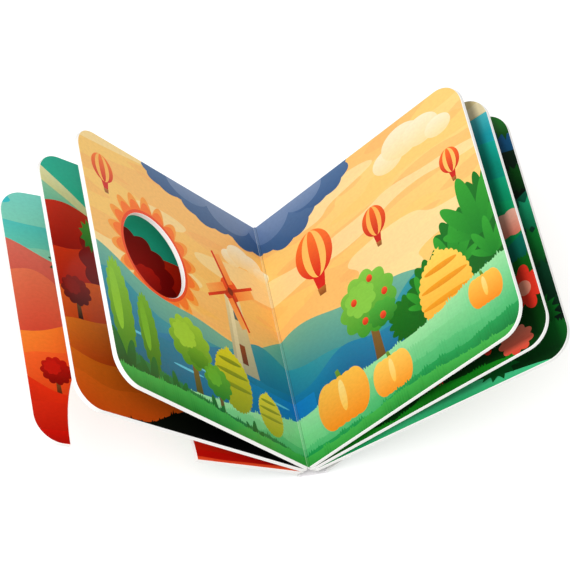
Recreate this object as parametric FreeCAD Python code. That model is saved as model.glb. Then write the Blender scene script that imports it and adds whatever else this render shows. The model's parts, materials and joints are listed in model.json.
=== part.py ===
"""A square board book, standing on its spine with its thick card pages fanned open.

The book is two cover boards, a squared spine sheet under them, and a block of four page boards that
are joined at their folds. Every fold runs along Y, with the foot of the book at -Y and the head at
+Y. Z is up, and the origin is the middle of the flat underside of the spine. Sizes are in
millimetres and angles in degrees.

A board leaves its fold at an angle that is counted up from +X. Boards past the upright make the left
half of the open book, and the others the right half. The face that shows when the book lies open is
a board's inner face, and the fold that it shares with the next board lies on its outer face.
"""

import FreeCAD, Part
import math
import os

# The boards
page_height = 150.0
page_width = 152.0
board_thickness = 2.5
corner_radius = 15.0
edge_bevel = 0.25

# How far the book is open
centre_opening_angle = 80.0
left_page_gap_angle = 9.4
front_cover_gap_angle = 12.8
right_page_gap_angle = 7.3
back_cover_gap_angle = 7.1

# The folds
gutter_width = 1.2
cover_fold_clearance = 0.2

# The round peep hole in the left page, measured from the fold and the foot
peep_hole_radius = 23.8
peep_hole_from_fold = 103.3
peep_hole_from_foot = 89.1

# The arch cut into the foot of the front cover, measured from the fold
arch_half_width = 35.8
arch_height = 64.5
arch_from_fold = 97.9

# The spine sheet
spine_sheet_thickness = 1.0
spine_depth = 2.5
spine_inner_bend = 0.4
spine_clearance = 0.3

LEFT = "left"
RIGHT = "right"
RIGHT_ANGLE = 90.0

foot = -page_height / 2
board_count = 6
closed_thickness = board_count * board_thickness


def along(angle):
    """Unit vector from the fold of a board at this angle towards its fore-edge."""
    turn = math.radians(angle)
    return FreeCAD.Vector(math.cos(turn), 0, math.sin(turn))


def outwards(angle, half):
    """Unit vector out of the outer face of a board."""
    if half == LEFT:
        return along(angle + RIGHT_ANGLE)
    return along(angle - RIGHT_ANGLE)


def next_fold(fold, angle, half):
    """The fold on the other face of the board that starts at this fold."""
    return fold + outwards(angle, half) * board_thickness


def line(start, end):
    return Part.LineSegment(start, end).toShape()


def page_outline():
    """A page lying flat, with its fold on the Y axis and its two free corners rounded."""
    head = foot + page_height
    straight_x = page_width - corner_radius
    bulge_x = straight_x + corner_radius * math.sqrt(0.5)
    bulge_in = corner_radius * (1 - math.sqrt(0.5))
    foot_end = FreeCAD.Vector(straight_x, foot, 0)
    foot_bulge = FreeCAD.Vector(bulge_x, foot + bulge_in, 0)
    fore_foot = FreeCAD.Vector(page_width, foot + corner_radius, 0)
    fore_head = FreeCAD.Vector(page_width, head - corner_radius, 0)
    head_bulge = FreeCAD.Vector(bulge_x, head - bulge_in, 0)
    head_end = FreeCAD.Vector(straight_x, head, 0)
    root_head = FreeCAD.Vector(0, head, 0)
    root_foot = FreeCAD.Vector(0, foot, 0)
    edges = [
        line(root_foot, foot_end),
        Part.Arc(foot_end, foot_bulge, fore_foot).toShape(),
        line(fore_foot, fore_head),
        Part.Arc(fore_head, head_bulge, head_end).toShape(),
        line(head_end, root_head),
        line(root_head, root_foot),
    ]
    return Part.Face(Part.Wire(edges))


def peep_hole_cutter():
    centre = FreeCAD.Vector(peep_hole_from_fold, foot + peep_hole_from_foot, -board_thickness)
    return Part.makeCylinder(peep_hole_radius, 3 * board_thickness, centre)


def arch_cutter():
    """Half an ellipse that stands on the foot edge, with its legs run on past the board."""
    centre = FreeCAD.Vector(arch_from_fold, foot, -board_thickness)
    up = FreeCAD.Vector(0, arch_height, 0)
    across = FreeCAD.Vector(arch_half_width, 0, 0)
    if arch_height > arch_half_width:
        ellipse = Part.Ellipse(centre + up, centre - across, centre)
        crown = Part.ArcOfEllipse(ellipse, -math.pi / 2, math.pi / 2).toShape()
    else:
        ellipse = Part.Ellipse(centre + across, centre + up, centre)
        crown = Part.ArcOfEllipse(ellipse, 0, math.pi).toShape()
    start = crown.Vertexes[0].Point
    end = crown.Vertexes[-1].Point
    past = FreeCAD.Vector(0, -board_thickness, 0)
    edges = [crown, line(end, end + past), line(end + past, start + past), line(start + past, start)]
    return Part.Face(Part.Wire(edges)).extrude(FreeCAD.Vector(0, 0, 3 * board_thickness))


def ease_rims(plate):
    """Bevels the rims of both faces of a flat board, apart from the two edges at its fold."""
    rims = []
    for edge in plate.Edges:
        box = edge.BoundBox
        at_fold = box.XMax < board_thickness and box.YLength > page_height / 2
        if box.ZLength < board_thickness / 10 and not at_fold:
            rims.append(edge)
    return plate.makeChamfer(min(edge_bevel, board_thickness / 3), rims)


def board(fold, angle, half, cutter=None, start=0.0):
    """A board at its place. Its inner face passes through the fold, and it starts this far out."""
    plate = page_outline().extrude(FreeCAD.Vector(0, 0, board_thickness))
    if start > 0:
        trim = Part.makeBox(start, page_height, board_thickness, FreeCAD.Vector(0, foot, 0))
        plate = plate.cut(trim)
    if cutter is not None:
        plate = plate.cut(cutter)
    plate = ease_rims(plate)
    if half == RIGHT:
        plate.translate(FreeCAD.Vector(0, 0, -board_thickness))
    plate.rotate(FreeCAD.Vector(0, 0, 0), FreeCAD.Vector(0, -1, 0), angle)
    plate.translate(fold)
    return plate


def run_to_head(edges):
    """A closed outline in the XZ plane, run from the foot of the book to its head."""
    face = Part.Face(Part.Wire(edges))
    face.translate(FreeCAD.Vector(0, foot, 0))
    return face.extrude(FreeCAD.Vector(0, page_height, 0))


def folded_edge(fold, inner_angle, outer_angle):
    """The half round back of a folded sheet, which joins two boards on the spine's side."""
    radius = board_thickness / 2
    middle = (inner_angle + outer_angle) / 2
    side = along(middle + RIGHT_ANGLE) * radius
    back = along(middle) * -radius
    return run_to_head([
        Part.Arc(fold - side, fold + back, fold + side).toShape(),
        line(fold + side, fold - side),
    ])


def gutter():
    """The join of the middle spread: a flat strip between two scored lines, round below."""
    radius = board_thickness / 2
    half_opening = math.radians(centre_opening_angle / 2)
    reach = gutter_width / 2 / math.sin(half_opening)
    left_top = centre_fold + along(left_page_angle) * reach
    right_top = centre_fold + along(right_page_angle) * reach
    left_low = centre_fold + outwards(left_page_angle, LEFT) * radius
    right_low = centre_fold + outwards(right_page_angle, RIGHT) * radius
    lowest = centre_fold + FreeCAD.Vector(0, 0, -radius)
    return run_to_head([
        line(left_top, right_top),
        line(right_top, right_low),
        Part.Arc(right_low, lowest, left_low).toShape(),
        line(left_low, left_top),
    ])


def bend(channel, height, radius):
    """Rounds the long edges of the spine sheet that lie at this height."""
    edges = []
    for edge in channel.Edges:
        box = edge.BoundBox
        level = max(abs(box.ZMin - height), abs(box.ZMax - height)) < spine_sheet_thickness / 10
        if level and box.YLength > page_height / 2:
            edges.append(edge)
    return channel.makeFillet(radius, edges)


def spine():
    """A sheet with its two long edges turned up, as wide as the closed book is thick."""
    sheet = spine_sheet_thickness
    floor = spine_bottom + sheet
    corners = [
        FreeCAD.Vector(spine_left, 0, spine_top),
        FreeCAD.Vector(spine_left, 0, spine_bottom),
        FreeCAD.Vector(spine_right, 0, spine_bottom),
        FreeCAD.Vector(spine_right, 0, spine_top),
        FreeCAD.Vector(spine_right - sheet, 0, spine_top),
        FreeCAD.Vector(spine_right - sheet, 0, floor),
        FreeCAD.Vector(spine_left + sheet, 0, floor),
        FreeCAD.Vector(spine_left + sheet, 0, spine_top),
    ]
    edges = [line(one, other) for one, other in zip(corners, corners[1:] + corners[:1])]
    channel = run_to_head(edges)
    channel = bend(channel, spine_bottom, spine_inner_bend + sheet)
    return bend(channel, floor, spine_inner_bend)


def pages():
    """Four page boards and the three folds that join them, which are glued into one block."""
    block = board(centre_fold, left_page_angle, LEFT, peep_hole_cutter())
    others = [
        board(left_back_fold, left_back_angle, LEFT),
        board(centre_fold, right_page_angle, RIGHT),
        board(right_back_fold, right_back_angle, RIGHT),
        gutter(),
        folded_edge(left_back_fold, left_page_angle, left_back_angle),
        folded_edge(right_back_fold, right_page_angle, right_back_angle),
    ]
    return block.multiFuse(others).removeSplitter()


def front_cover():
    return board(front_cover_fold, front_cover_angle, LEFT, arch_cutter(), cover_fold_clearance)


def back_cover():
    return board(back_cover_fold, back_cover_angle, RIGHT, start=cover_fold_clearance)


# The angle of each board
left_page_angle = RIGHT_ANGLE + centre_opening_angle / 2
left_back_angle = left_page_angle + left_page_gap_angle
front_cover_angle = left_back_angle + front_cover_gap_angle
right_page_angle = RIGHT_ANGLE - centre_opening_angle / 2
right_back_angle = right_page_angle - right_page_gap_angle
back_cover_angle = right_back_angle - back_cover_gap_angle

# The fold that each board starts from, with the centre fold at the origin until the end
centre_fold = FreeCAD.Vector(0, 0, 0)
left_back_fold = next_fold(centre_fold, left_page_angle, LEFT)
front_cover_fold = next_fold(left_back_fold, left_back_angle, LEFT)
right_back_fold = next_fold(centre_fold, right_page_angle, RIGHT)
back_cover_fold = next_fold(right_back_fold, right_back_angle, RIGHT)

# The spine sheet starts below the back edge of the front cover, and clears covers that lie level
spine_left = next_fold(front_cover_fold, front_cover_angle, LEFT).x
spine_right = spine_left + closed_thickness
spine_top = min(front_cover_fold.z, back_cover_fold.z) - board_thickness - spine_clearance
spine_bottom = spine_top - spine_depth

# The move that brings the middle of the spine's underside to the origin
stand = FreeCAD.Vector(-(spine_left + spine_right) / 2, 0, -spine_bottom)

os.makedirs("parts", exist_ok=True)
makers = {"pages": pages, "front_cover": front_cover, "back_cover": back_cover, "spine": spine}
for name, make in makers.items():
    shape = make()
    shape.translate(stand)
    shape.exportStep("parts/" + name + ".step")
    print(name, "solids", len(shape.Solids), "valid", shape.isValid(), "mm3", round(shape.Volume, 1))

folds = {"centre": centre_fold, "front_cover": front_cover_fold, "back_cover": back_cover_fold}
for name, fold in folds.items():
    place = fold + stand
    print(name, "fold at x", round(place.x, 4), "z", round(place.z, 4))
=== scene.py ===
"""Board book, standing on its spine with its thick card pages fanned open.

The file follows the book as it is put together: the camera and the studio, the six printed sheets,
the page boards with their folds, the two covers, and the spine with its wrap. Lengths are in metres,
and angles are in degrees, counted up from +X as seen from the foot of the book.
"""
import bpy
import bmesh
import json
import math
from mathutils import Matrix, Vector


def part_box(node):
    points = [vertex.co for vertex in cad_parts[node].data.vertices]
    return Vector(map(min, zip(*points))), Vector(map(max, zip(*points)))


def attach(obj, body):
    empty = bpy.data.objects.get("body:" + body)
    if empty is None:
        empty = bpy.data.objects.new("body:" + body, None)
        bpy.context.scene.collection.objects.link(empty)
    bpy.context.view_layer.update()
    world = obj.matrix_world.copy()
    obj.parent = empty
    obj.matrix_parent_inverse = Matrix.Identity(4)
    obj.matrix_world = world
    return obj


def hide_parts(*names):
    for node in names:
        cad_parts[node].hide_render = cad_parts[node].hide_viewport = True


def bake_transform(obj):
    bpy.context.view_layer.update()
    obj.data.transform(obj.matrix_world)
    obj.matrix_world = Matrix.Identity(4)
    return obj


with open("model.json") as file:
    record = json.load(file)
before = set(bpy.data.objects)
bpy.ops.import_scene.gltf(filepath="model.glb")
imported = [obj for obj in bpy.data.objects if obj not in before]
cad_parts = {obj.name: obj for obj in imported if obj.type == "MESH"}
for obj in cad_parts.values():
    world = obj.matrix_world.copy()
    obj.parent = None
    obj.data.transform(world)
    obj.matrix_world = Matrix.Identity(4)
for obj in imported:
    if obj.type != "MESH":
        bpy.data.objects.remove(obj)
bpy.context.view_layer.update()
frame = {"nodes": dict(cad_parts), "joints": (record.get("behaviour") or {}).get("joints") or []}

scene = bpy.context.scene


# Camera
# A long lens stands above the foot of the book and looks steeply down at it, turned a little
# towards the back cover and rolled a few degrees.
camera_place = Vector((-0.194336, -0.637212, 1.087789))
camera_turn = -16.616
camera_tilt = 33.08
camera_roll = 6.59


def about(axis, angle):
    return Matrix.Rotation(math.radians(angle), 4, axis)


lens = bpy.data.cameras.new("camera")
lens.lens = 151.47
lens.sensor_width = 36.0
lens.clip_start = 0.01
camera = bpy.data.objects.new("camera", lens)
camera.matrix_world = (
    Matrix.Translation(camera_place)
    @ about("Z", camera_turn) @ about("X", camera_tilt) @ about("Z", camera_roll)
)
scene.collection.objects.link(camera)
scene.camera = camera


# Studio
# A white floor under soft light: an even white surround, and one large soft lamp above and to the
# left of the book. The floor shows the camera a little more white, and keeps the book's shadow.
floor_size = 8.0
floor_white = 0.70
floor_lift = 0.48
surround_strength = 0.72
lamp_place = Vector((-0.60, -0.62, 1.30))
lamp_size = 1.1
lamp_power = 13.0
scene.view_settings.view_transform = "Standard"


class Wire:
    """One output socket of a shader node. Sums, products and comparisons on it add Math nodes."""

    def __init__(self, finish, socket):
        self.finish = finish
        self.socket = socket

    def math(self, operation, *values):
        return self.finish.node("ShaderNodeMath", {"operation": operation}, values)

    def __add__(self, other):
        return self.math("ADD", self, other)

    __radd__ = __add__

    def __sub__(self, other):
        return self.math("SUBTRACT", self, other)

    def __rsub__(self, other):
        return self.math("SUBTRACT", other, self)

    def __mul__(self, other):
        return self.math("MULTIPLY", self, other)

    __rmul__ = __mul__

    def __truediv__(self, other):
        return self.math("DIVIDE", self, other)

    def __lt__(self, other):
        return self.math("LESS_THAN", self, other)

    def __gt__(self, other):
        return self.math("GREATER_THAN", self, other)

    def __abs__(self):
        return self.math("ABSOLUTE", self)

    def sine(self):
        return self.math("SINE", self)

    def zigzag(self, height):
        """Runs up and down between nothing and this height."""
        return self.math("PINGPONG", self, height)

    def either(self, other):
        return self.math("MAXIMUM", self, other)


class Finish:
    """A material that is written one node at a time."""

    def __init__(self, owner):
        owner.use_nodes = True
        self.owner = owner
        self.graph = owner.node_tree
        self.graph.nodes.clear()

    def node(self, kind, settings, values, output=0):
        """Adds a node of this type with its settings, and the values or links of its sockets."""
        made = self.graph.nodes.new(kind)
        for name, value in settings.items():
            setattr(made, name, value)
        pairs = values.items() if isinstance(values, dict) else enumerate(values)
        for name, value in pairs:
            if isinstance(value, Wire):
                self.graph.links.new(value.socket, made.inputs[name])
            else:
                made.inputs[name].default_value = value
        return Wire(self, made.outputs[output]) if made.outputs else None


def paint(code):
    """The linear colour of a six digit code."""
    channels = [int(code[i:i + 2], 16) / 255 for i in (0, 2, 4)]
    linear = [c / 12.92 if c <= 0.04045 else ((c + 0.055) / 1.055) ** 2.4 for c in channels]
    return (*linear, 1.0)


surround = Finish(bpy.data.worlds.new("surround"))
scene.world = surround.owner
seen_kinds = ("Is Camera Ray", "Is Glossy Ray", "Is Transmission Ray")
seen = sum(surround.node("ShaderNodeLightPath", {}, [], kind) for kind in seen_kinds)
strength = seen * (1.0 - surround_strength) + surround_strength
white = surround.node("ShaderNodeBackground", {}, {"Color": (1, 1, 1, 1), "Strength": strength})
surround.node("ShaderNodeOutputWorld", {}, {"Surface": white})

paper_floor = Finish(bpy.data.materials.new("floor"))
shade = (floor_white, floor_white, floor_white, 1)
matt = paper_floor.node("ShaderNodeBsdfDiffuse", {}, {"Color": shade})
seen = sum(paper_floor.node("ShaderNodeLightPath", {}, [], kind) for kind in seen_kinds)
glow = paper_floor.node("ShaderNodeEmission", {}, {"Strength": seen * floor_lift})
both = paper_floor.node("ShaderNodeAddShader", {}, [matt, glow])
paper_floor.node("ShaderNodeOutputMaterial", {}, {"Surface": both})

ground = bmesh.new()
bmesh.ops.create_grid(ground, x_segments=1, y_segments=1, size=floor_size / 2)
floor_mesh = bpy.data.meshes.new("floor")
ground.to_mesh(floor_mesh)
ground.free()
floor_mesh.materials.append(paper_floor.owner)
floor = bpy.data.objects.new("floor", floor_mesh)
scene.collection.objects.link(floor)

lamp_data = bpy.data.lights.new("soft_lamp", "AREA")
lamp_data.size = lamp_size
lamp_data.energy = lamp_power
lamp = bpy.data.objects.new("soft_lamp", lamp_data)
lamp.location = lamp_place
lamp.rotation_euler = (-lamp_place).to_track_quat("-Z", "Y").to_euler()
scene.collection.objects.link(lamp)


# Middle sheet
# The printed sheet of the middle spread, which runs from the left page over the gutter to the
# right page. It is offset print on coated card under a gloss film. Places on every sheet are given
# from its fold and from the foot, in page heights, with the left board below nothing.
page_height = 0.150
page_width = 0.152
film_weight = 0.10
film_roughness = 0.12
print_roughness = 0.50
print_specular = 0.16


class Sheet(Finish):
    """A printed sheet. Each call lays one more shape of colour over those before it."""

    def __init__(self, name, mapped=True):
        super().__init__(bpy.data.materials.new(name))
        if mapped:
            self.spot = self.node("ShaderNodeUVMap", {"uv_map": "sheet"}, [])
        else:
            self.spot = self.node("ShaderNodeMapping", {}, {
                "Vector": self.node("ShaderNodeTexCoord", {}, [], "Object"),
                "Location": (0, 0.5, 0), "Scale": (1 / page_height,) * 3,
            })
        self.u, self.v = self.parts(self.spot)
        self.colour = None

    def parts(self, vector):
        """The two coordinates of a vector."""
        split = self.node("ShaderNodeSeparateXYZ", {}, [vector])
        return split, Wire(self, split.socket.node.outputs["Y"])

    def fade(self, low, high, share):
        """A colour between these two."""
        low, high = (paint(c) if isinstance(c, str) else c for c in (low, high))
        values = {0: share, 6: low, 7: high}
        return self.node("ShaderNodeMix", {"data_type": "RGBA"}, values, 2)

    def lay(self, colour, mask):
        self.colour = self.fade(self.colour, colour, mask)

    def paint_shade(self, from_fold, from_foot, share):
        """Paints shade into a sheet, darker inwards from its fore-edge and its foot, where the next board
        shades it.
        """
        # Painted shade: near-black laid over the print, strongest at the fore-edge and the foot.
        inwards = self.mixed(-22.0, 0.0, from_fold * 22.0)
        inwards = inwards.math("MINIMUM", inwards, self.mixed(0.0, 30.0, -from_foot * 30.0))
        inwards = inwards.math("MINIMUM", inwards.either(0.0), share)
        self.lay(paint("000602"), inwards)

    def noise(self, across, up, detail=2.0, seed=0.0):
        """Soft noise from nothing to one, stretched along the sheet."""
        scaled = self.node("ShaderNodeMapping", {}, {
            "Vector": self.spot, "Location": (seed, seed * 0.7, 0), "Scale": (across, up, 1),
        })
        settings = {"noise_dimensions": "2D"}
        values = {"Vector": scaled, "Scale": 1.0, "Detail": detail}
        return self.node("ShaderNodeTexNoise", settings, values)

    def at(self, u, v, width, height, turn=0.0):
        """Coordinates about a shape's own middle, in which it reaches from minus one to one."""
        cosine = math.cos(math.radians(turn))
        sine = math.sin(math.radians(turn))
        return (
            self.mixed(cosine / width, sine / width, -(u * cosine + v * sine) / width),
            self.mixed(-sine / height, cosine / height, (u * sine - v * cosine) / height),
        )

    def mixed(self, u_share, v_share, added):
        """So much of each coordinate of the sheet, and a number added."""
        if abs(u_share) < 1e-9:
            return self.v.math("MULTIPLY_ADD", self.v, v_share, added)
        if abs(v_share) > 1e-9:
            added = self.v.math("MULTIPLY_ADD", self.v, v_share, added)
        return self.u.math("MULTIPLY_ADD", self.u, u_share, added)

    def reach(self, place):
        """How far a spot is from a shape's middle."""
        x, y = place
        return y.math("SQRT", y.math("MULTIPLY_ADD", y, y, x * x))

    def oval(self, u, v, width, height, low, high=None, turn=0.0):
        """An oval that is one colour at its lower side and another at its upper side."""
        x, y = self.at(u, v, width, height, turn)
        mask = x.math("MULTIPLY_ADD", y, y, x * x) < 1.0
        colour = paint(low)
        if high is not None:
            colour = self.fade(low, high, y.math("MULTIPLY_ADD", y, 0.5, 0.5))
        self.lay(colour, mask)

    def leafy(self, u, v, width, height, lobes, depth, low, high, turn=0.0, pointed=False):
        """A round crown with a scalloped or pointed rim, as on a bush, a tree or a flower."""
        place = self.at(u, v, width, height, turn)
        x, y = place
        spin = x.math("ARCTAN2", y, x)
        bulge = abs((spin * (lobes / 2)).sine())
        if pointed:
            rim = x.math("MULTIPLY_ADD", bulge, -depth, 1.0)
        else:
            rim = x.math("MULTIPLY_ADD", bulge, depth, 1.0 - depth)
        mask = self.reach(place) < rim
        self.lay(self.fade(low, high, y.math("MULTIPLY_ADD", y, 0.5, 0.5)), mask)

    def beam(self, u, v, width, height, low, high, taper=0.0, turn=0.0):
        """A straight bar that may narrow towards its upper end."""
        x, y = self.at(u, v, width, height, turn)
        side = y.math("MULTIPLY_ADD", y, taper, abs(x))
        mask = side.either(abs(y)) < 1.0
        self.lay(self.fade(low, high, y.math("MULTIPLY_ADD", y, 0.5, 0.5)), mask)

    def hill(self, height, wave, waves, phase, low, high, depth=0.25, slope=0.0, tufts=0.0):
        """A rolling hill across the sheet, of another colour at its crest, tufted on request."""
        swell = self.mixed(waves, 0.0, phase).sine()
        ripple = self.mixed(waves * 2.3, 0.0, phase * 1.7).sine()
        crest = swell.math("MULTIPLY_ADD", swell, wave, self.mixed(slope, 0.0, height))
        crest = swell.math("MULTIPLY_ADD", ripple, wave * 0.35, crest)
        if tufts > 0:
            patches = self.noise(26, 8, 1.0, phase) - 0.40
            blades = self.mixed(170.0, 0.0, 0.0).zigzag(1.0)
            crest = crest + blades * patches.either(0.0) * (tufts * 4)
        below = crest - self.v
        mask = below > 0.0
        self.lay(self.fade(high, low, below / depth), mask)

    def bands(self, across, up, level, colour, seed, strength):
        """Long smooth clouds, where noise that is stretched along the sheet passes a level."""
        field = self.noise(across, up, 1.0, seed)
        self.lay(paint(colour), (field > level) * strength)

    def cloud(self, u, v, size, low, high):
        """A heaped cloud of four puffs on a flat base."""
        puffs = ((-0.9, -0.1, 0.6), (-0.25, 0.2, 0.8), (0.5, 0.1, 0.7), (1.1, -0.15, 0.5))
        for right, above, width in puffs:
            self.oval(u + right * size, v + above * size, width * size, width * size * 0.62, low, high)

    def tree(self, u, v, size, low, high, bark="6B4A22"):
        """A round-headed tree with a lighter head inside the darker one."""
        self.beam(u, v - size * 0.95, size * 0.13, size * 0.75, bark, "8A6A34", 0.25)
        self.leafy(u, v, size, size * 0.92, 11, 0.14, low, high)
        self.leafy(u - size * 0.22, v + size * 0.2, size * 0.55, size * 0.48, 8, 0.16, high, high)

    def frond(self, u, v, size, turn, low, high):
        """A tuft of five broad leaves that fan out from its foot."""
        for lean, length in ((-58, 0.42), (58, 0.42), (-30, 0.55), (30, 0.55), (0, 0.62)):
            away = math.radians(turn + lean + 90)
            length *= size
            self.oval(u + math.cos(away) * length, v + math.sin(away) * length,
                      length * 0.26, length, low, high, turn + lean)

    def poplar(self, u, v, size, low, high):
        """A tall slim tree."""
        self.beam(u, v - size, size * 0.06, size * 0.3, "5B4A24", "7C6230")
        self.leafy(u, v, size * 0.3, size, 22, 0.1, low, high)
        self.oval(u - size * 0.08, v + size * 0.16, size * 0.11, size * 0.6, high)

    def balloon(self, u, v, size, low, high, stripe):
        """A striped hot-air balloon with its basket."""
        self.beam(u, v - size * 1.1, size * 0.3, size * 0.5, low, low, -0.35)
        self.oval(u, v, size, size * 1.05, low, high)
        self.oval(u, v, size * 0.62, size * 1.05, stripe, stripe)
        self.oval(u, v, size * 0.26, size * 1.05, low, high)
        self.beam(u, v - size * 1.72, size * 0.2, size * 0.16, "8A4A1C", "B8702E", -0.15)

    def pumpkin(self, u, v, size, low, high):
        """A ribbed pumpkin with a stalk."""
        self.beam(u, v + size * 0.8, size * 0.09, size * 0.2, "4E7A22", "6E9A32", 0.2, 12)
        for right, width in ((-0.55, 0.5), (0.55, 0.5), (-0.28, 0.5), (0.28, 0.5), (0.0, 0.36)):
            self.oval(u + right * size, v, size * width, size * 0.78, low, high)

    def stack(self, u, v, size, low, high, band):
        """A thatched haystack with bands of straw round it and a tuft on top."""
        self.leafy(u, v + size * 0.98, size * 0.14, size * 0.14, 7, 0.4, high, high, 0.0, True)
        self.leafy(u, v, size * 0.8, size, 34, 0.05, low, high)
        for above, width in ((0.62, 0.5), (0.24, 0.7), (-0.16, 0.76)):
            self.oval(u, v + size * above, size * width, size * 0.075, band, low)

    def flower(self, u, v, size, petals, heart):
        """An open flower with a round heart."""
        self.leafy(u, v, size, size, 7, 0.35, petals, petals)
        self.oval(u, v, size * 0.32, size * 0.32, heart)

    def press(self):
        """Closes the sheet: the mottle of the ink, and the gloss film over all of it."""
        mottle = self.noise(60, 110, 4.0, 3.1)
        shaded = self.fade((0.90, 0.90, 0.90, 1), (1.06, 1.06, 1.06, 1), mottle)
        settings = {"data_type": "RGBA", "blend_type": "MULTIPLY", "clamp_result": True}
        inked = self.node("ShaderNodeMix", settings, {0: 1.0, 6: self.colour, 7: shaded}, 2)
        grain = self.noise(1400, 1400, 2.0, 7.7)
        rough = grain * 0.1 + (print_roughness - 0.05)
        waves = self.noise(18, 18, 1.0, 1.3)
        height = grain * 0.06 + waves
        bump = self.node("ShaderNodeBump", {}, {
            "Strength": 0.12, "Distance": 0.0006, "Height": height,
        })
        shader = self.node("ShaderNodeBsdfPrincipled", {}, {
            "Base Color": inked, "Roughness": rough, "Normal": bump,
            "Specular IOR Level": print_specular,
            "Coat Weight": film_weight, "Coat Roughness": film_roughness,
        })
        self.node("ShaderNodeOutputMaterial", {}, {"Surface": shader})
        return self.owner


middle = Sheet("middle_sheet")
# Painted light and shade: the sky is darker on the left page, which faces away from the lamp, and lighter on
# the right page, which faces it.
painted_light_share = middle.u * 0.30 + 0.55
sky_low = middle.fade("FDB44C", "FFC76E", painted_light_share)
sky_high = middle.fade("FFC763", "FFDC8C", painted_light_share)
middle.colour = middle.fade(sky_low, sky_high, middle.v * 1.5 - 0.45)
middle.bands(1.5, 7.0, 0.50, "FFCF74", 2.0, 0.8)
middle.bands(1.3, 8.0, 0.55, "FDC070", 5.0, 0.7)
middle.bands(1.9, 10.0, 0.60, "FBB468", 7.5, 0.45)
middle.bands(1.2, 6.0, 0.59, "FFE6A8", 9.0, 0.7)
# the bank of evening cloud at the head of the fold, and two lit clouds
for u, v, width, height in (
    (-0.50, 0.99, 0.16, 0.07), (-0.30, 0.97, 0.18, 0.10), (-0.08, 0.99, 0.19, 0.13),
    (0.14, 0.96, 0.17, 0.12), (0.33, 0.99, 0.16, 0.08),
):
    middle.leafy(u, v, width, height, 9, 0.1, "35598A", "5F7FA8")
for u, v, width, height in (
    (-0.40, 1.0, 0.12, 0.06), (-0.17, 0.99, 0.13, 0.08), (0.06, 1.0, 0.12, 0.09), (0.25, 1.0, 0.10, 0.06),
):
    middle.oval(u, v, width, height, "5F7BA6", "8FA3C4")
middle.cloud(0.76, 0.89, 0.12, "FFE0A0", "FFF0CC")
middle.cloud(-0.13, 0.79, 0.09, "FFE2A0", "FFF6D8")
# the sun that frames the peep hole
sun = middle.at(-0.6887, 0.594, 0.1587, 0.1587)
sun_spin = middle.u.math("ARCTAN2", sun[1], sun[0])
sun_reach = middle.reach(sun)
rays = abs((sun_spin * 9.0).sine())
middle.lay(paint("FFA03C"), sun_reach < rays * 0.36 + 1.14)
middle.lay(paint("FF7A24"), sun_reach < rays * 0.22 + 1.12)
middle.lay(paint("F24A18"), sun_reach < 1.09)
# far hills and the lake
middle.hill(0.45, 0.06, 5.0, 0.6, "2F8A94", "6FB49C", 0.2)
middle.hill(0.37, 0.05, 7.0, 2.4, "0F6A96", "2F97A4", 0.2)
middle.hill(0.30, 0.03, 9.0, 5.2, "0A5A8C", "1A80A8", 0.14)
lake_near = middle.fade("064A66", "0A58A0", middle.u * 1.4 + 1.1)
lake_far = middle.fade("0E8098", "1486C4", middle.u * 1.4 + 1.1)
middle.lay(middle.fade(lake_near, lake_far, middle.v * 3.6), (middle.v < 0.25) * (middle.u < 0.10))
for u, v, width in ((-0.86, 0.22, 0.10), (-0.45, 0.20, 0.12), (-0.12, 0.215, 0.08), (-0.62, 0.17, 0.08)):
    middle.oval(u, v, width, 0.005, "5FC4DC")
# the windmill on the far bank
middle.beam(-0.26, 0.45, 0.055, 0.17, "A9A488", "F2DFA8", 0.22)
middle.beam(-0.285, 0.45, 0.012, 0.165, "C8BC92", "FFF2C8", 0.2, -4)
middle.beam(-0.26, 0.36, 0.016, 0.04, "6A2A14", "8A3A1C")
middle.beam(-0.26, 0.52, 0.010, 0.018, "4A5A5C", "5F7A80")
middle.oval(-0.26, 0.628, 0.052, 0.050, "C8200C", "FF5A24")
for turn in (25, 115, 205, 295):
    for out, side, width, height, low, high in (
        (0.085, 0.020, 0.020, 0.060, "FF8A3C", "FFB05A"), (0.080, 0.0, 0.006, 0.080, "B8200C", "E83818"),
    ):
        up = math.radians(turn + 90)
        across = math.radians(turn)
        u = -0.26 + out * math.cos(up) + side * math.cos(across)
        v = 0.62 + out * math.sin(up) + side * math.sin(across)
        middle.beam(u, v, width, height, low, high, 0.0, turn)
middle.oval(-0.26, 0.62, 0.016, 0.016, "7A140C")
# the right page's hedge, apple tree and haystack
for u, v, width, height in (
    (0.58, 0.28, 0.10, 0.09), (0.70, 0.32, 0.12, 0.12), (0.85, 0.38, 0.13, 0.16), (0.99, 0.42, 0.12, 0.20),
):
    middle.leafy(u, v, width, height, 17, 0.18, "045A10", "0A7418")
for u, v, width, height, turn in (
    (0.66, 0.33, 0.07, 0.07, 10), (0.80, 0.41, 0.08, 0.10, -14), (0.94, 0.50, 0.08, 0.13, 8),
    (0.97, 0.36, 0.07, 0.08, 0), (0.74, 0.30, 0.06, 0.06, 20),
):
    middle.frond(u, v - height * 0.8, height * 1.5, turn, "0C7A1C", "2FA02C")
middle.tree(0.42, 0.43, 0.135, "2F9428", "86CC48")
middle.leafy(0.47, 0.36, 0.07, 0.05, 9, 0.16, "1E7A20", "4CB03C")
for u, v in ((0.36, 0.46), (0.45, 0.51), (0.50, 0.43), (0.39, 0.37), (0.47, 0.35)):
    middle.oval(u, v, 0.014, 0.014, "C81E0C", "FF5A30")
middle.stack(0.75, 0.285, 0.15, "F5A01E", "FFD65C", "E8901C")
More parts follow.
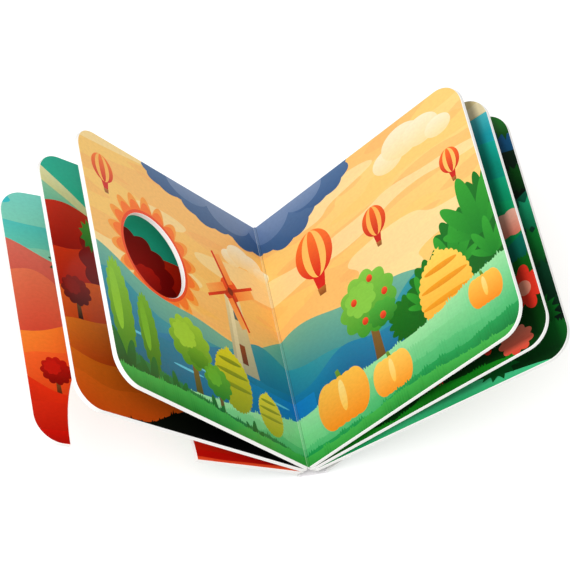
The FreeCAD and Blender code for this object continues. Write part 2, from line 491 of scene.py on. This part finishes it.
# meadow, pumpkins and grass
middle.hill(0.165, 0.012, 6.0, 1.1, "4CC07A", "9AE0A0", 0.16, 0.11, 0.012)
middle.hill(0.115, 0.012, 8.0, 4.4, "3DB46C", "7CD08C", 0.12, 0.09, 0.012)
middle.hill(0.070, 0.014, 9.0, 3.0, "1E9E54", "55BC74", 0.10, 0.06, 0.012)
middle.pumpkin(0.22, 0.155, 0.115, "F58A14", "FFC24A")
middle.pumpkin(0.45, 0.130, 0.085, "F5921E", "FFCC58")
middle.pumpkin(0.90, 0.200, 0.070, "F58A14", "FFC24A")
for u, v, width, height in ((0.22, 0.17, 0.016, 0.06), (0.45, 0.14, 0.012, 0.045), (0.90, 0.21, 0.01, 0.036)):
    middle.oval(u, v, width, height, "FFC24A", "FFE08A")
middle.hill(0.035, 0.008, 13.0, 0.4, "067834", "1E9A4E", 0.06, 0.05, 0.012)
# the left page's near bank with its trees
middle.hill(0.02, 0.010, 6.0, 2.2, "06401C", "1E7A3A", 0.12, -0.12, 0.012)
middle.poplar(-0.94, 0.29, 0.20, "2F7A10", "8CC62C")
middle.poplar(-0.81, 0.24, 0.16, "24680F", "74B424")
middle.tree(-0.58, 0.29, 0.115, "3F8A14", "A0D034", "4A4A14")
middle.leafy(-0.55, 0.24, 0.06, 0.04, 9, 0.16, "2F7A10", "6AAA20")
middle.stack(-0.36, 0.22, 0.125, "8E9A08", "DCD41C", "7E8A0C")
middle.stack(-0.17, 0.15, 0.085, "9AA40C", "E6DC30", "86900C")
middle.tree(-0.46, 0.18, 0.075, "1E7A1C", "62B028", "3A3A10")
for u, v, width, height, turn in (
    (-0.96, 0.10, 0.09, 0.11, 14), (-0.84, 0.07, 0.10, 0.09, -12), (-0.70, 0.06, 0.09, 0.08, 6),
    (-0.50, 0.05, 0.09, 0.07, 4), (-0.30, 0.035, 0.08, 0.06, -8),
):
    middle.frond(u, v - height * 0.8, height * 1.4, turn, "04300F", "12702A")
middle.hill(0.045, 0.012, 5.0, 5.0, "0E7A24", "3FAE48", 0.07, -0.02, 0.012)
middle.balloon(-0.90, 0.86, 0.055, "D4201C", "FF8030", "FFBE5C")
middle.balloon(0.24, 0.74, 0.090, "D8201A", "FF7A28", "FFC464")
middle.balloon(0.53, 0.70, 0.055, "C81C10", "F8641C", "FFB454")
middle.balloon(0.90, 0.72, 0.045, "CC1E14", "FF6E24", "FFC464")
# the two scored lines of the gutter, and the strip between them, which is painted darker: painted shade that
# evens out the extra light its upward face catches
aside = abs(middle.u)
middle.lay(paint("3A4A40"), (aside < 0.0062) * 0.20)
# painted shade along the right scored line, and a painted highlight along the left one
middle.lay(paint("202A24"), (abs(middle.u - 0.0070) < 0.0012) * 0.45)
middle.lay(paint("FFFFF0"), (abs(middle.u + 0.0066) < 0.0011) * 0.40)
middle_sheet = middle.press()


# Left sheet
# The next spread towards the front cover: the back of the left page, and the face of the board
# behind it, which shows beside the left page and through the peep hole.
left = Sheet("left_sheet")
left.colour = left.fade("2CC8A4", "0CA88C", left.v * 5.0 - 4.2)
left.hill(0.21, 0.015, 9.0, 1.0, "ECE094", "FBEEB4", 0.1, -0.74)
left.hill(0.22, 0.02, 8.0, 2.6, "5CC09A", "9AD8B0", 0.12, -0.64)
left.hill(0.74, 0.05, 6.0, 1.0, "A80A02", "E02A0C", 0.2)
left.hill(0.60, 0.04, 9.0, 3.0, "B80A02", "E8380C", 0.18)
left.leafy(-0.68, 0.60, 0.22, 0.20, 15, 0.10, "6A0404", "A00A08")
left.leafy(-0.83, 0.70, 0.05, 0.07, 11, 0.3, "1E7A2C", "5FAA3A", 0.0, True)
left.leafy(-0.55, 0.50, 0.06, 0.06, 11, 0.3, "2F7A2C", "6AAA2A", 0.0, True)
left.leafy(-0.60, 0.60, 0.07, 0.06, 9, 0.12, "8A0804", "C41A0C")
left.hill(0.45, 0.04, 6.0, 0.2, "DC3A08", "F86A1C", 0.2)
left.hill(0.34, 0.03, 9.0, 2.0, "CC3404", "F8801C", 0.2)
left.tree(-0.94, 0.45, 0.065, "5A0604", "A0180C", "3A0606")
left.hill(0.22, 0.03, 7.0, 4.0, "C84204", "F07414", 0.2)
left.tree(-0.60, 0.20, 0.08, "3A0A08", "7A140E", "2A0A06")
left.hill(0.12, 0.02, 11.0, 1.0, "C83C04", "EE6A14", 0.16)
left.hill(0.31, 0.014, 14.0, 1.4, "000000", "060C02", 0.14, 0.40, 0.014)
left_sheet = left.press()


# Front sheet
# The spread inside the front cover: the back of that board, and the front cover's inner face,
# which shows at the far left beside the arch.
front = Sheet("front_sheet")
front.colour = front.fade("84E0B0", "2CC4CC", front.v * 3.0 - 1.9)
front.bands(2.0, 9.0, 0.54, "A8E8C0", 6.0, 0.5)
front.hill(0.74, 0.05, 6.0, 2.0, "C83C30", "E87460", 0.35)
front.hill(0.62, 0.06, 9.0, 4.5, "D44632", "F08058", 0.3)
front.leafy(-0.79, 0.72, 0.07, 0.09, 13, 0.3, "03380A", "0B6414", 0.0, True)
front.leafy(-0.77, 0.62, 0.06, 0.06, 11, 0.3, "03380A", "0E7018", 0.0, True)
front.hill(0.44, 0.04, 7.0, 0.4, "F0541C", "FF9434", 0.25)
front.hill(0.34, 0.03, 10.0, 3.3, "DC3E10", "FA702C", 0.2)
front.tree(-0.90, 0.28, 0.06, "7A0404", "C81C10", "4A0404")
front.hill(0.24, 0.04, 8.0, 5.0, "B00A04", "E43410", 0.2)
front.hill(0.13, 0.02, 6.0, 1.0, "B40C02", "D82C10", 0.14)
front.hill(0.050, 0.015, 9.0, 2.0, "A00802", "CC1204", 0.06)
front.hill(0.020, 0.004, 13.0, 1.0, "F4703C", "E84420", 0.02, 0.022)
front_sheet = front.press()


# Right sheet
# The next spread towards the back cover: the back of the right page, and the face of the board
# below it, which shows as a strip beside the right page.
right = Sheet("right_sheet")
right.colour = paint("F2DCA0")
right.bands(2.0, 9.0, 0.54, "FFF0C8", 3.0, 0.6)
right.hill(0.90, 0.015, 6.0, 1.0, "1CB0BC", "4CC8D0", 0.08)
right.hill(0.80, 0.02, 8.0, 2.0, "0CA088", "14BCA8", 0.10)
right.hill(0.66, 0.03, 7.0, 3.3, "089A66", "12B484", 0.12)
right.hill(0.54, 0.03, 9.0, 0.5, "06904E", "10A86C", 0.10)
right.leafy(0.98, 0.46, 0.10, 0.05, 11, 0.15, "F08068", "FFC0A8")
right.hill(0.40, 0.03, 8.0, 4.4, "045A4C", "0A7A64", 0.10)
right.hill(0.30, 0.03, 6.0, 2.4, "023A08", "0A6A18", 0.14, 0.0, 0.012)
for u, v, size in ((0.96, 0.21, 0.085), (0.76, 0.11, 0.06), (0.56, 0.08, 0.045), (0.40, 0.07, 0.03)):
    right.flower(u, v, size, "F83824", "FFA084")
right.hill(0.055, 0.02, 9.0, 2.0, "034008", "16901C", 0.07, -0.06, 0.012)
right.leafy(0.88, 0.05, 0.07, 0.05, 9, 0.2, "F04830", "FF9478")
# Painted shade: darker inwards from the fore-edge and foot, where the right page shades the board below it.
right.paint_shade(0.985, 0.02, 0.55)
right_sheet = right.press()


# Back sheet
# The spread inside the back cover: the back of that board, and the back cover's inner face.
back = Sheet("back_sheet")
back.colour = back.fade("021A06", "04280A", back.v)
back.hill(0.96, 0.02, 5.0, 0.4, "0A4A64", "145A90", 0.2)
back.hill(0.84, 0.02, 9.0, 1.4, "010A04", "03200A", 0.2)
back.hill(0.64, 0.05, 5.0, 1.0, "04301C", "0A6248", 0.18)
back.hill(0.46, 0.04, 7.0, 2.6, "021E0A", "0A6A34", 0.16, 0.0, 0.012)
back.hill(0.30, 0.03, 6.0, 4.0, "01160A", "0A4E2A", 0.14, 0.0, 0.012)
for u, v, size in ((0.20, 0.34, 0.07), (0.46, 0.28, 0.09), (0.74, 0.35, 0.08), (0.34, 0.62, 0.05)):
    back.leafy(u, v, size * 1.5, size * 1.2, 13, 0.3, "044A18", "12963A", 0.0, True)
    back.flower(u, v, size, "E8402C", "FFA084")
for u, v, width, height, turn, low, high in (
    (1.00, 0.95, 0.07, 0.09, 20, "063A0A", "12941C"), (0.99, 0.70, 0.07, 0.06, -24, "012008", "06500F"),
    (1.00, 0.55, 0.09, 0.07, 14, "0A6A44", "1CB47C"), (0.98, 0.42, 0.09, 0.08, -30, "043A14", "0E8A34"),
    (1.00, 0.28, 0.09, 0.09, 24, "011A08", "064A2C"), (0.93, 0.17, 0.08, 0.08, -18, "02300A", "0C7A24"),
):
    back.leafy(u, v, width, height, 15, 0.3, low, high, turn, True)
back.hill(0.13, 0.02, 9.0, 1.0, "02300A", "0A641E", 0.12, 0.0, 0.012)
back.hill(0.10, 0.02, 7.0, 3.0, "12A05A", "4CD492", 0.07, -0.11)
back.leafy(0.74, 0.07, 0.09, 0.06, 13, 0.3, "044A18", "0E8A34", 0.0, True)
# Painted shade: darker inwards from the fore-edge and foot, where the board above shades the back cover's
# inner face.
back.paint_shade(0.99, 0.02, 0.40)
back_sheet = back.press()


# Cover sheet
# The sheet that wraps the closed book: the back cover, the spine and the front cover.
def draw_land(sheet):
    """Evening sky over rolling hills."""
    sheet.colour = sheet.fade("F9A848", "FFD27A", sheet.v * 1.6 - 0.5)
    sheet.bands(1.6, 8.0, 0.54, "FBB662", 2.5, 0.6)
    sheet.hill(0.50, 0.06, 4.0, 1.0, "0F6A96", "4EA4AC", 0.25)
    sheet.hill(0.36, 0.04, 5.0, 3.0, "2C8A3C", "86CC48", 0.2, 0.0, 0.012)
    sheet.hill(0.20, 0.02, 7.0, 2.0, "0B4A1C", "2C8A3C", 0.2, 0.0, 0.012)


wrap = Sheet("cover_sheet")
draw_land(wrap)
wrap.cloud(0.72, 0.84, 0.12, "FFE0A0", "FFF0CC")
wrap.cloud(-0.40, 0.78, 0.12, "FFE0A0", "FFF0CC")
wrap.tree(0.30, 0.44, 0.13, "2F9428", "86CC48")
wrap.tree(-0.62, 0.42, 0.13, "2F9428", "86CC48")
wrap.poplar(0.86, 0.46, 0.17, "24680F", "74B424")
wrap.poplar(-0.28, 0.42, 0.15, "24680F", "74B424")
wrap.hill(0.16, 0.02, 6.0, 0.5, "083A16", "1E7A34", 0.2, 0.0, 0.012)
wrap.balloon(0.56, 0.74, 0.12, "D8201A", "FF7A28", "FFC464")
wrap_sheet = wrap.press()


# Page boards
# Four thick white boards. Each is two printed sheets glued back to back, so its edges show white
# card with a fine glue line, and its printed faces run out to a narrow eased rim.
board_thickness = 0.0025
corner_radius = 0.015
edge_bevel = 0.00025
corner_steps = 14
peep_hole_radius = 0.0238
peep_hole_from_fold = 0.1033
peep_hole_from_foot = 0.0891
peep_hole_steps = 96
foot = -page_height / 2
LEFT = 1
RIGHT = -1


def along(angle):
    """Unit vector from the fold of a board at this angle towards its fore-edge."""
    turn = math.radians(angle)
    return Vector((math.cos(turn), 0, math.sin(turn)))


def outwards(angle, half):
    """Unit vector out of the outer face of a board."""
    return along(angle + 90 * half)


joint_place = {joint["name"]: Vector(joint["pos_m"]) for joint in frame["joints"]}
left_page_angle = 130.0
left_back_angle = left_page_angle + 9.4
front_cover_angle = left_back_angle + 12.8
right_page_angle = 50.0
right_back_angle = right_page_angle - 7.3
back_cover_angle = right_back_angle - 7.1
front_cover_fold = joint_place["front_cover_fold"]
left_back_fold = front_cover_fold - outwards(left_back_angle, LEFT) * board_thickness
centre_fold = left_back_fold - outwards(left_page_angle, LEFT) * board_thickness
right_back_fold = centre_fold + outwards(right_page_angle, RIGHT) * board_thickness
back_cover_fold = right_back_fold + outwards(right_back_angle, RIGHT) * board_thickness

edge = Finish(bpy.data.materials.new("board_edge"))
edge_spot = edge.node("ShaderNodeUVMap", {"uv_map": "sheet"}, [])
stretched = edge.node("ShaderNodeMapping", {}, {"Vector": edge_spot, "Scale": (160, 6, 1)})
fibre = edge.node("ShaderNodeTexNoise", {"noise_dimensions": "2D"}, {"Vector": stretched, "Detail": 3.0})
edge_parts = edge.node("ShaderNodeSeparateXYZ", {}, [edge_spot])
glue_line = abs(Wire(edge, edge_parts.socket.node.outputs["Y"]) - 0.5) < 0.03
tone = fibre * 0.5 - glue_line * 0.25
card = edge.node("ShaderNodeMix", {"data_type": "RGBA"}, {
    0: tone + 0.3, 6: (0.88, 0.87, 0.84, 1), 7: (0.99, 0.98, 0.95, 1),
}, 2)
edge_bump = edge.node("ShaderNodeBump", {}, {"Strength": 0.2, "Distance": 0.0002, "Height": fibre})
edge_shader = edge.node("ShaderNodeBsdfPrincipled", {}, {
    "Base Color": card, "Roughness": fibre * 0.2 + 0.65, "Normal": edge_bump,
})
edge.node("ShaderNodeOutputMaterial", {}, {"Surface": edge_shader})
board_edge = edge.owner


def rim_of(shape, inset, level, start, arch):
    """The closed edge loop of a board at one level of its thickness."""
    made = bmesh.ops.create_grid(shape, x_segments=1, y_segments=1, size=0.5)["verts"]
    for point in made:
        x = page_width - inset if point.co.x > 0 else start
        point.co = (x, math.copysign(page_height / 2 - inset, point.co.y), level)
    free = [point for point in made if point.co.x > page_width / 2]
    bmesh.ops.bevel(
        shape, geom=free, offset=corner_radius - inset, offset_type="OFFSET",
        segments=corner_steps, profile=0.5, affect="VERTICES", material=-1,
    )
    face = shape.faces[:][0]
    edges = list(face.edges)
    bmesh.ops.delete(shape, geom=[face], context="FACES_ONLY")
    if arch is None:
        return edges
    from_fold, half_width, height = arch
    low = foot + inset
    crown = bmesh.ops.create_circle(shape, segments=arch_steps, radius=1.0)["verts"]
    for point in crown:
        x = from_fold + point.co.x * (half_width + inset)
        y = foot + point.co.y * (height + inset)
        point.co = (x, y, level)
    bmesh.ops.delete(shape, geom=[p for p in crown if p.co.y < foot - inset - 1e-6], context="VERTS")
    crown = [p for p in crown if p.is_valid]
    arc = {e for p in crown for e in p.link_edges}
    for point in crown:
        point.co.y = max(point.co.y, low)
    at_foot = [e for e in edges if all(p.co.y < 0 for p in e.verts)]
    foot_edge = max(at_foot, key=lambda e: e.calc_length())
    ends = sorted(foot_edge.verts, key=lambda p: p.co.x)
    legs = sorted((p for p in crown if len(p.link_edges) == 1), key=lambda p: p.co.x)
    edges.remove(foot_edge)
    shape.edges.remove(foot_edge)
    feet = [shape.edges.new(pair) for pair in zip(ends, legs)]
    return edges + list(arc) + feet


def ring_of(shape, inset, level, hole):
    """The edge loop of a round hole at one level of a board's thickness."""
    from_fold, from_foot, radius = hole
    place = Matrix.Translation((from_fold, foot + from_foot, level))
    made = bmesh.ops.create_circle(
        shape, segments=peep_hole_steps, radius=radius + inset, matrix=place,
    )["verts"]
    return list({e for p in made for e in p.link_edges})


def board(name, fold, angle, half, inner, outer, start=0.0, hole=None, arch=None):
    """A printed board at its place. Its inner face passes through the fold."""
    shape = bmesh.new()
    levels = (
        (edge_bevel, 0.0), (0.0, edge_bevel),
        (0.0, board_thickness - edge_bevel), (edge_bevel, board_thickness),
    )
    rims = [rim_of(shape, inset, level, start, arch) for inset, level in levels]
    rings = [ring_of(shape, inset, level, hole) for inset, level in levels] if hole else []
    for stack in (rims, rings):
        for low, high in zip(stack, stack[1:]):
            bmesh.ops.bridge_loops(shape, edges=low + high)
    for end in (0, -1):
        edges = rims[end] + (rings[end] if rings else [])
        bmesh.ops.triangle_fill(shape, edges=edges, use_beauty=True, use_dissolve=False)
    bmesh.ops.recalc_face_normals(shape, faces=shape.faces)
    mapped = shape.loops.layers.uv.new("sheet")
    for face in shape.faces:
        levels_met = {round(p.co.z / board_thickness, 3) for p in face.verts}
        if len(levels_met) > 1:
            face.material_index = 2
            for corner in face.loops:
                x, y, z = corner.vert.co
                corner[mapped].uv = ((x + y) / page_height, z / board_thickness)
            continue
        at_inner = 0.0 in levels_met
        face.material_index = 0 if at_inner else 1
        side = -half if at_inner else half
        for corner in face.loops:
            x, y, z = corner.vert.co
            corner[mapped].uv = (side * x / page_height, (y - foot) / page_height)
    for point in shape.verts:
        point.co.z *= half
    if half == RIGHT:
        bmesh.ops.reverse_faces(shape, faces=shape.faces)
    place = Matrix.Translation(fold) @ about("Y", -angle)
    bmesh.ops.transform(shape, matrix=place, verts=shape.verts)
    return piece_of(name, shape, [inner, outer, board_edge])


def piece_of(name, shape, finishes):
    """Turns a finished bmesh into a piece with its materials."""
    mesh = bpy.data.meshes.new(name)
    shape.to_mesh(mesh)
    shape.free()
    for finish in finishes:
        mesh.materials.append(finish)
    piece = bpy.data.objects.new(name, mesh)
    scene.collection.objects.link(piece)
    return piece


peep_hole = (peep_hole_from_fold, peep_hole_from_foot, peep_hole_radius)
left_page = board(
    "left_page", centre_fold, left_page_angle, LEFT, middle_sheet, left_sheet, hole=peep_hole,
)
left_back_page = board(
    "left_back_page", left_back_fold, left_back_angle, LEFT, left_sheet, front_sheet,
)
right_page = board(
    "right_page", centre_fold, right_page_angle, RIGHT, middle_sheet, right_sheet,
)
right_back_page = board(
    "right_back_page", right_back_fold, right_back_angle, RIGHT, right_sheet, back_sheet,
)
for page in (left_page, left_back_page, right_page, right_back_page):
    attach(page, "book_block")
    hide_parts("pages")


# Folds of the page boards
# The middle sheet crosses its fold on a flat strip between two scored lines. On the spine's side
# each fold ends in the half round back of the folded card.
gutter_width = 0.0012
fold_steps = 12


def run_to_head(shape):
    """Closes a chain of points into a face and runs it from the foot to the head."""
    face = bmesh.ops.contextual_create(shape, geom=shape.verts[:] + shape.edges[:])["faces"]
    grown = bmesh.ops.extrude_face_region(shape, geom=face)["geom"]
    moved = [g for g in grown if isinstance(g, bmesh.types.BMVert)]
    bmesh.ops.translate(shape, vec=(0, page_height, 0), verts=moved)
    bmesh.ops.recalc_face_normals(shape, faces=shape.faces)


def arc(shape, centre, radius, start, sweep, steps):
    """A chain of points round a fold, by angles counted up from +X, at the foot of the book."""
    first = shape.verts.new(centre + along(start) * radius + Vector((0, foot, 0)))
    bmesh.ops.spin(
        shape, geom=[first], cent=centre, axis=(0, -1, 0), angle=math.radians(sweep), steps=steps,
    )


def folded_edge(name, fold, inner_angle, outer_angle):
    """The half round back of a folded sheet, between two boards."""
    middle_angle = (inner_angle + outer_angle) / 2
    shape = bmesh.new()
    arc(shape, fold, board_thickness / 2, middle_angle + 90, 180, fold_steps)
    run_to_head(shape)
    mapped = shape.loops.layers.uv.new("sheet")
    for face in shape.faces:
        for corner in face.loops:
            corner[mapped].uv = (corner.vert.co.y / page_height, 0.2)
    return piece_of(name, shape, [board_edge])


opening = left_page_angle - right_page_angle
reach = gutter_width / 2 / math.sin(math.radians(opening / 2))
gutter_shape = bmesh.new()
arc(gutter_shape, centre_fold, board_thickness / 2, right_page_angle - 90, opening - 180, fold_steps)
left_low, right_low = (sorted(gutter_shape.verts, key=lambda p: p.co.x)[i] for i in (0, -1))
left_top, right_top = (
    gutter_shape.verts.new(centre_fold + along(angle) * reach + Vector((0, foot, 0)))
    for angle in (left_page_angle, right_page_angle)
)
for pair in ((left_low, left_top), (left_top, right_top), (right_top, right_low)):
    gutter_shape.edges.new(pair)
run_to_head(gutter_shape)
gutter_map = gutter_shape.loops.layers.uv.new("sheet")
top_level = left_top.co.z
for face in gutter_shape.faces:
    on_top = all(abs(p.co.z - top_level) < 1e-6 for p in face.verts)
    face.material_index = 0 if on_top else 1
    for corner in face.loops:
        x, y, z = corner.vert.co
        u = (x - centre_fold.x) / (gutter_width / 2) * reach / page_height
        corner[gutter_map].uv = (u, (y - foot) / page_height)
gutter = piece_of("gutter", gutter_shape, [middle_sheet, board_edge])
left_fold = folded_edge("left_fold", left_back_fold, left_page_angle, left_back_angle)
right_fold = folded_edge("right_fold", right_back_fold, right_back_angle, right_page_angle)
for piece in (gutter, left_fold, right_fold):
    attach(piece, "book_block")
    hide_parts("pages")


# Front cover
# A board like the pages, with an arch die-cut into its foot. It swings on the fold that it shares
# with the left pages.
cover_fold_clearance = 0.0002
arch_from_fold = 0.0979
arch_half_width = 0.0358
arch_height = 0.0645
arch_steps = 96
arch = (arch_from_fold, arch_half_width, arch_height)
front_cover = board(
    "front_cover_board", front_cover_fold, front_cover_angle, LEFT,
    front_sheet, wrap_sheet, cover_fold_clearance, arch=arch,
)
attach(front_cover, "front_cover")
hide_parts("front_cover")


# Back cover
# A plain board that swings on the fold that it shares with the right pages.
back_cover = board(
    "back_cover_board", back_cover_fold, back_cover_angle, RIGHT,
    back_sheet, wrap_sheet, cover_fold_clearance,
)
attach(back_cover, "back_cover")
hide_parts("back_cover")


# Spine
# A sheet of card with its two long edges turned up, on which the book stands. The cover sheet is
# glued round its outside, and it is pale grey card inside and at its ends.
card_thickness = 0.0010
spine_low, spine_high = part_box("spine")
skin = 0.00005
spine_print = Sheet("spine_sheet", mapped=False)
draw_land(spine_print)
spot = spine_print.node("ShaderNodeTexCoord", {}, [], "Object")
aside, along_fold = spine_print.parts(spot)
above = Wire(spine_print, aside.socket.node.outputs["Z"])
outside = (abs(aside) > spine_high.x - card_thickness / 2).either(above < card_thickness / 2)
outside = outside * (abs(along_fold) < spine_high.y - skin) * (above < spine_high.z - skin)
pulp = spine_print.node("ShaderNodeTexNoise", {}, {"Vector": spot, "Scale": 900.0, "Detail": 3.0})
grey = spine_print.fade((0.90, 0.88, 0.90, 1), (0.98, 0.96, 0.97, 1), pulp)
spine_print.colour = spine_print.fade(grey, spine_print.colour, outside)
spine_finish = spine_print.press()
spine = frame["nodes"]["spine"]
for slot in spine.material_slots:
    slot.material = spine_finish


# Fold strips and wraps
# The sheets that cross the two cover folds bend round the backs of those folds. The cover sheet runs on from
# the spine's walls to each cover. All of them are thin paper.
paper_thickness = 0.0003
fold_back = board_thickness / 2
wrap_steps = 10
front_wrap_reach = 0.0035
front_wrap_pull = 0.9
back_wrap_free = 0.016
back_wrap_reach = 0.020
back_wrap_pull = 0.6
wrap_low = 0.0008


def strip(name, outer, inner, finishes, side=1):
    """A thin sheet between two lines of points, run from the foot to the head of the book."""
    shape = bmesh.new()
    at_foot = Vector((0, foot, 0))
    ring = [shape.verts.new(point + at_foot) for point in outer + inner[::-1]]
    for pair in zip(ring, ring[1:] + ring[:1]):
        shape.edges.new(pair)
    run_to_head(shape)
    printed = {(round(p.x, 7), round(p.z, 7)) for p in outer}
    mapped = shape.loops.layers.uv.new("sheet")
    for face in shape.faces:
        on_outside = all((round(p.co.x, 7), round(p.co.z, 7)) in printed for p in face.verts)
        face.material_index = 0 if on_outside else len(finishes) - 1
        for corner in face.loops:
            x, y, z = corner.vert.co
            corner[mapped].uv = (side * abs(x - centre_fold.x) / page_height, (y - foot) / page_height)
    return piece_of(name, shape, finishes)


def fold_strip(name, fold, page_angle, cover_angle, half):
    """The folded sheet's back at a cover's fold, from the page board's root to the cover's."""
    past = math.degrees(cover_fold_clearance / fold_back)
    start = page_angle - 90 * half
    end = cover_angle + (90 - past) * half
    sweep = -half * ((start - end) * half % 360)
    turns = [start + sweep * step / wrap_steps for step in range(wrap_steps + 1)]
    outer = [fold + along(turn) * fold_back for turn in turns]
    inner = [fold + along(turn) * (fold_back - paper_thickness) for turn in turns]
    piece = strip(name, outer, inner, [board_edge])
    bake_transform(piece)


fold_strip(
    "front_fold_strip", front_cover_fold, left_back_angle, front_cover_angle, LEFT,
)
fold_strip(
    "back_fold_strip", back_cover_fold, right_back_angle, back_cover_angle, RIGHT,
)


def wrap_strip(name, route, side):
    """The cover sheet between the spine's wall and a cover, along a route on the inner side."""
    inner, outer = [], []
    for before, here, after in zip([route[0]] + route, route, route[1:] + [route[-1]]):
        run = (after - before).normalized()
        inner.append(here)
        outer.append(here + Vector((-run.z, 0, run.x)) * side * paper_thickness)
    piece = strip(name, outer, inner, [wrap_sheet, board_edge], side)
    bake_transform(piece)


def curve(points, steps):
    """A smooth line that starts and ends along a few guide points."""
    line = []
    for step in range(steps + 1):
        row = list(points)
        while len(row) > 1:
            row = [one.lerp(other, step / steps) for one, other in zip(row, row[1:])]
        line.append(row[0])
    return line


front_face = front_cover_fold + outwards(front_cover_angle, LEFT) * board_thickness
front_root = front_face + along(front_cover_angle) * cover_fold_clearance
front_end = front_face + along(front_cover_angle) * front_wrap_reach
wall_foot = Vector((spine_low.x, 0, wrap_low))
wall_top = Vector((spine_low.x, 0, spine_high.z))
guides = [wall_top, wall_top.lerp(front_root, front_wrap_pull), front_end]
route = [wall_foot] + curve(guides, wrap_steps)
wrap_strip("front_wrap", route, 1)

back_face = back_cover_fold + outwards(back_cover_angle, RIGHT) * board_thickness
back_meet = back_face + along(back_cover_angle) * back_wrap_free
back_end = back_face + along(back_cover_angle) * back_wrap_reach
wall_foot = Vector((spine_high.x, 0, wrap_low))
wall_top = Vector((spine_high.x, 0, spine_high.z))
guides = [wall_top, wall_top.lerp(back_meet, back_wrap_pull), back_meet]
route = [wall_foot] + curve(guides, wrap_steps) + [back_end]
wrap_strip("back_wrap", route, -1)
